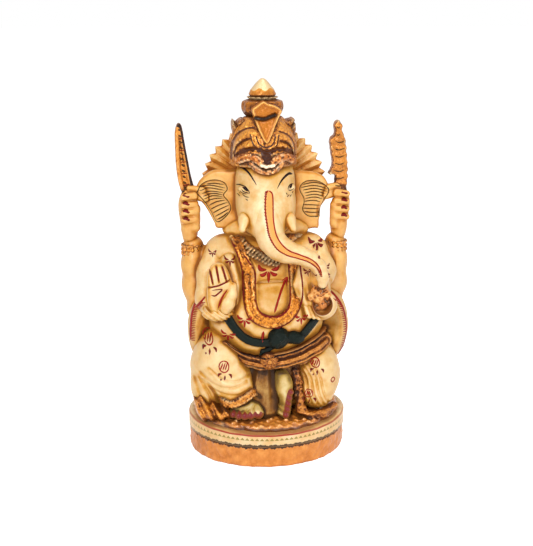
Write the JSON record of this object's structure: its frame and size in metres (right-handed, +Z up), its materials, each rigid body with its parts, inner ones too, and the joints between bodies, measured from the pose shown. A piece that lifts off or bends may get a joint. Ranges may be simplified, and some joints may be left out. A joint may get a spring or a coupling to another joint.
{
  "type": "ganesha idol",
  "caption": "Small seated elephant-headed idol, carved and painted cream, gold and dark red, with raised attributes, fan halo and tiered crown, on an oval plinth that stands on a shelf.",
  "frame": {"origin": "middle of the plinth's flat underside", "axes": "+Z up through the crown, -Y the way the figure faces, so the figure's own right side is at -X"},
  "size_m": [0.0694, 0.055, 0.1501],
  "materials": {
    "cream_paint": "glossy cream paint with ochre stain in the carving",
    "gilded_paint": "satin gold paint, antiqued dark in the carving",
    "base_paint": "rough textured gold-ochre paint",
    "snake_paint": "dark green-black paint with fine light lines",
    "pleat_paint": "olive-brown paint with dark lines"
  },
  "bodies": {
    "root": {"plinth_block": "base_paint", "plinth_band": "cream_paint", "ground_bed": "gilded_paint", "belly": "cream_paint", "chest": "cream_paint", "neck": "cream_paint", "hips": "cream_paint", "head": "cream_paint", "trunk": "cream_paint", "right_tusk": "cream_paint", "left_tusk": "cream_paint", "right_ear": "cream_paint", "left_ear": "cream_paint", "crown_brim": "gilded_paint", "crown_dome": "gilded_paint", "crown_bulb": "gilded_paint", "crown_tip": "gilded_paint", "crown_crest": "gilded_paint", "crown_right_scroll": "gilded_paint", "crown_left_scroll": "gilded_paint", "brow_ornament": "gilded_paint", "halo": "cream_paint", "right_rear_arm": "cream_paint", "left_rear_arm": "cream_paint", "right_rear_bangle": "gilded_paint", "left_rear_bangle": "gilded_paint", "right_rear_hand": "cream_paint", "left_rear_hand": "cream_paint", "right_ear_bridge": "cream_paint", "left_ear_bridge": "cream_paint", "battle_axe": "gilded_paint", "elephant_goad": "gilded_paint", "right_front_sleeve": "cream_paint", "right_wrist_bangle": "gilded_paint", "right_blessing_hand": "cream_paint", "left_front_sleeve": "cream_paint", "sweet_bowl": "cream_paint", "left_bowl_hand": "cream_paint", "sweets": "gilded_paint", "long_scarf": "gilded_paint", "snake_belt_right": "snake_paint", "snake_belt_left": "snake_paint", "snake_knot": "snake_paint", "waist_belt_right": "gilded_paint", "waist_belt_left": "gilded_paint", "belt_medallion": "gilded_paint", "collar": "gilded_paint", "right_shawl": "cream_paint", "left_shawl": "cream_paint", "right_leg": "cream_paint", "left_leg": "cream_paint", "right_anklet": "gilded_paint", "right_foot": "cream_paint", "left_foot": "cream_paint", "left_leg_hem": "gilded_paint", "front_pleats": "pleat_paint", "right_hem_folds": "gilded_paint"}
  },
  "joints": []
}
